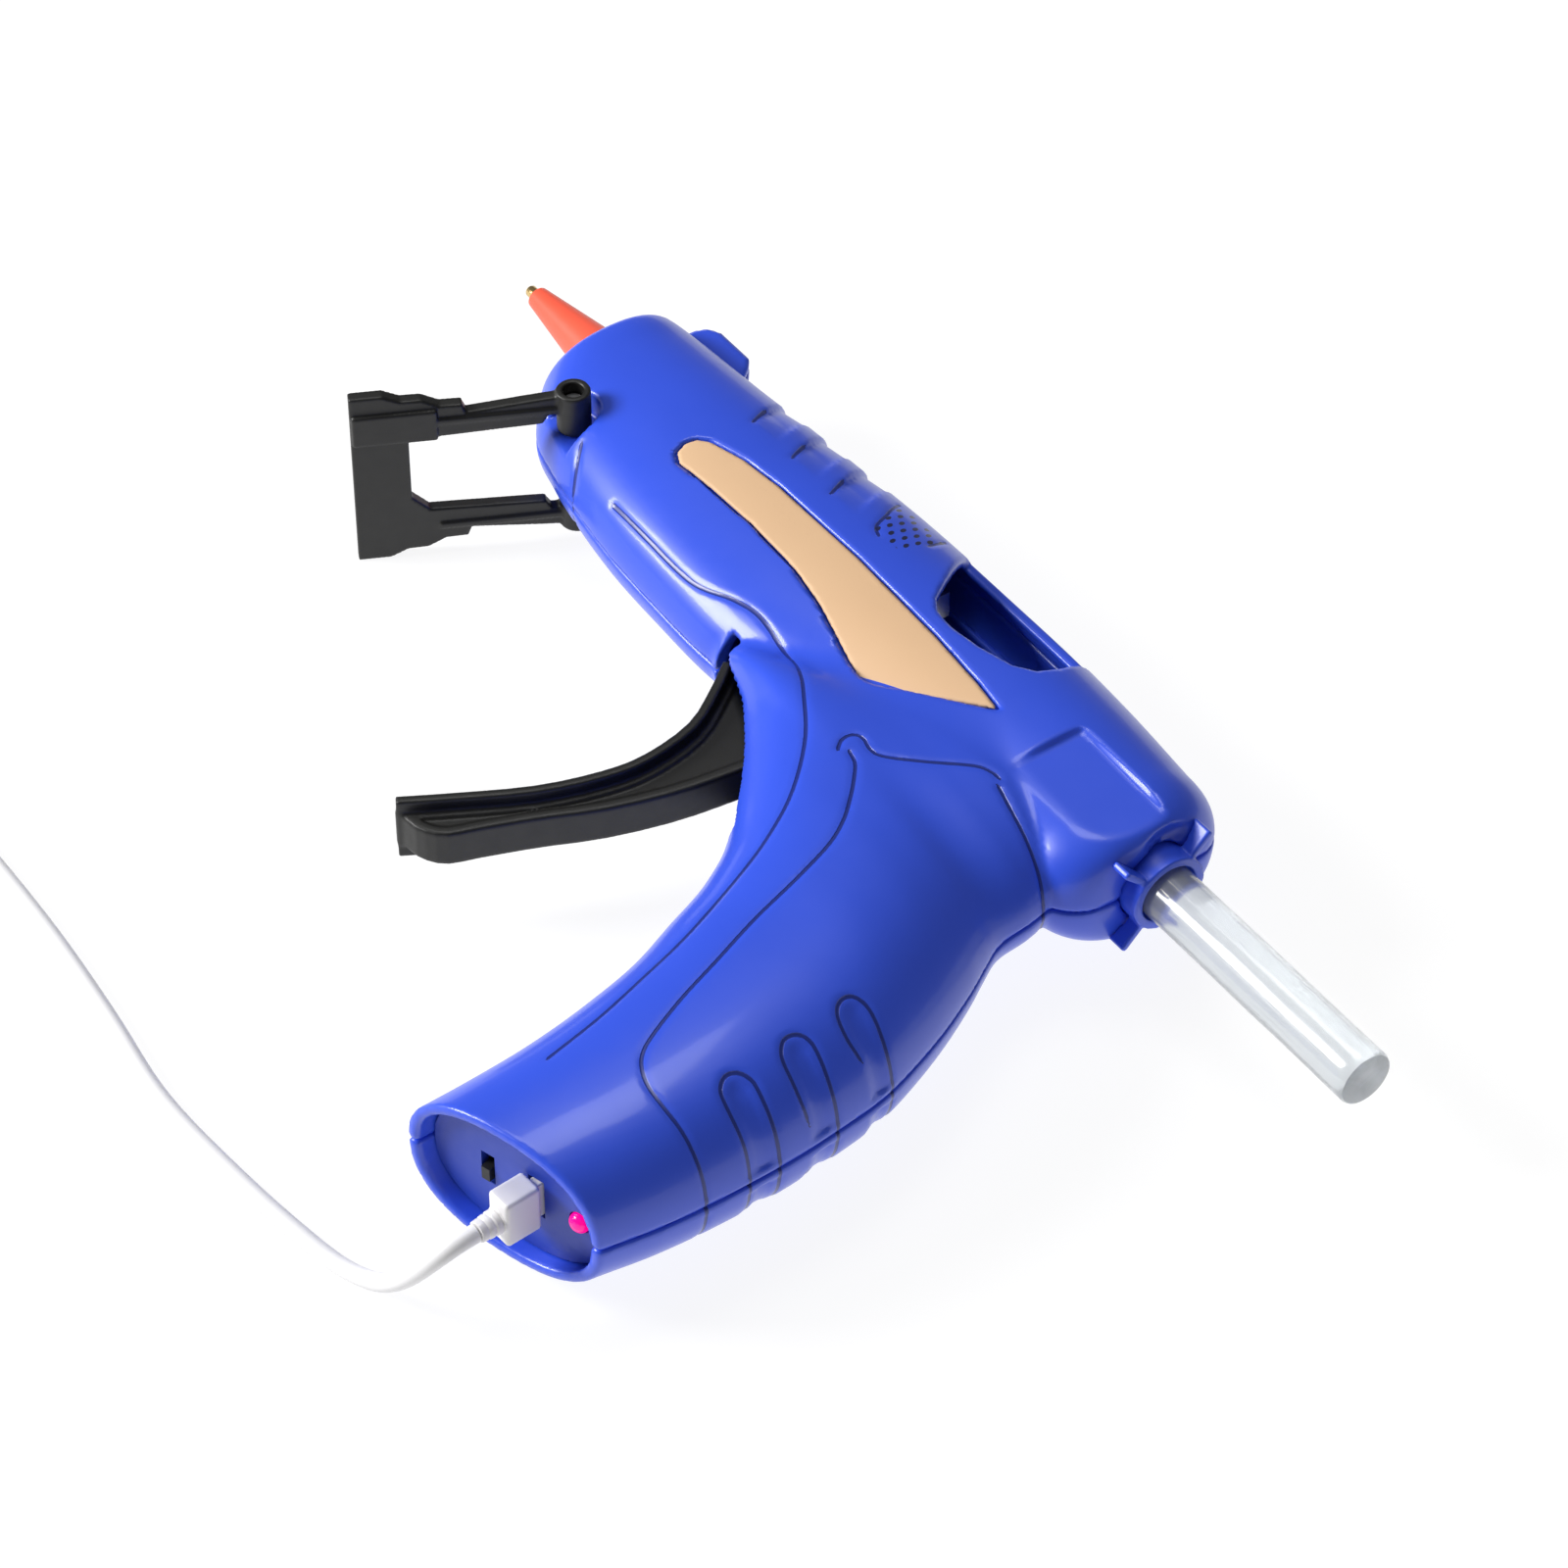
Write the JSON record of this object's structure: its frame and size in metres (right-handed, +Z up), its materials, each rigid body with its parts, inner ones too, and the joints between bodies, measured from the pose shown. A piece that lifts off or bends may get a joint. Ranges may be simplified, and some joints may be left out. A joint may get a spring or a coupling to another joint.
{
  "type": "hot glue gun",
  "caption": "Rechargeable hot-melt glue gun with a sprung trigger feed, folding stand, loaded glue stick and charging lead, lying on its side.",
  "frame": {"origin": "under the middle of the gun's bounding box, at the floor it lies on, without its charging lead", "axes": "+X from the nozzle to the glue stick inlet, +Y from the butt to the top of the gun, +Z up, which is the gun's left side"},
  "size_m": [0.262, 0.2441, 0.0416],
  "materials": {
    "blue_shell": "satin moulded ABS",
    "tan_inlay": "soft matte",
    "black_plastic": "fine matte",
    "orange_silicone": "smooth silicone",
    "brass": "machined",
    "aluminium": "turned",
    "steel": "plated",
    "clear_glue": "translucent hot-melt glue",
    "ceramic": "unglazed",
    "circuit_board": "solder mask",
    "battery_wrap": "shrink wrap",
    "led_pink": "glowing lens",
    "white_plastic": "moulded",
    "red_wire": "wire insulation",
    "black_wire": "wire insulation"
  },
  "bodies": {
    "housing": {"battery_cell": "battery_wrap", "butt_plate": "blue_shell", "circuit_board": "circuit_board", "cord_coil": "white_plastic", "cord_tie": "black_plastic", "far_plug_body": "white_plastic", "far_plug_shell": "steel", "far_relief": "white_plastic", "front_mount": "ceramic", "heater_block": "aluminium", "heater_element": "ceramic", "heater_wire_left": "red_wire", "heater_wire_right": "black_wire", "heating_chamber": "aluminium", "inlay_left": "tan_inlay", "inlay_right": "tan_inlay", "inlet_collar": "blue_shell", "inlet_sleeve": "orange_silicone", "led_lens": "led_pink", "left_shell": "blue_shell", "nozzle_sleeve": "orange_silicone", "nozzle_tip": "brass", "plug_relief": "white_plastic", "return_spring": "steel", "right_shell": "blue_shell", "shell_screw_1": "steel", "shell_screw_2": "steel", "shell_screw_3": "steel", "shell_screw_4": "steel", "shell_screw_5": "steel", "shell_screw_6": "steel", "sleeve_clip": "steel", "stand_pin_left": "steel", "stand_pin_right": "steel", "switch_body": "black_plastic", "trigger_pin": "steel", "usb_cord": "white_plastic", "usb_plug": "white_plastic", "usb_socket": "steel"},
    "trigger": {"trigger": "black_plastic", "link_pin": "steel"},
    "carriage": {"feed_carriage": "black_plastic"},
    "clamp": {"stick_clamp": "steel"},
    "stick": {"glue_stick": "clear_glue"},
    "stand": {"bail_stand": "black_plastic"},
    "switch": {"switch_knob": "black_plastic"}
  },
  "joints": [
    {"name": "trigger_pivot", "type": "hinge", "parent": "housing", "child": "trigger", "pos_m": [-0.007, 0.03957, 0.0208], "axis": [0, 0, 1], "range_deg": [0, 20], "stiffness_Nm_per_rad": 0.5, "springref_deg": -14.32},
    {"name": "feed_slide", "type": "slide", "parent": "housing", "child": "carriage", "axis": [-1, 0, 0], "range_m": [0, 0.0038], "deforming": ["return_spring"]},
    {"name": "clamp_tilt", "type": "hinge", "parent": "carriage", "child": "clamp", "pos_m": [-0.0095, 0.07397, 0.0208], "axis": [0, 0, 1], "range_deg": [0, 5.2]},
    {"name": "stick_feed", "type": "slide", "parent": "housing", "child": "stick", "axis": [-1, 0, 0], "range_m": [0, 0.0038]},
    {"name": "stand_hinge", "type": "hinge", "parent": "housing", "child": "stand", "pos_m": [-0.0846, 0.04007, 0.0208], "axis": [0, 0, 1], "range_deg": [-60, 80]},
    {"name": "switch_slide", "type": "slide", "parent": "housing", "child": "switch", "axis": [0, 0, 1], "range_m": [0, 0.002]}
  ],
  "couplings": [
    {"joint": "feed_slide", "follows": "trigger_pivot", "m_per_rad": 0.0105},
    {"joint": "clamp_tilt", "follows": "trigger_pivot", "ratio": 0.25},
    {"joint": "stick_feed", "follows": "trigger_pivot", "m_per_rad": 0.0105}
  ]
}
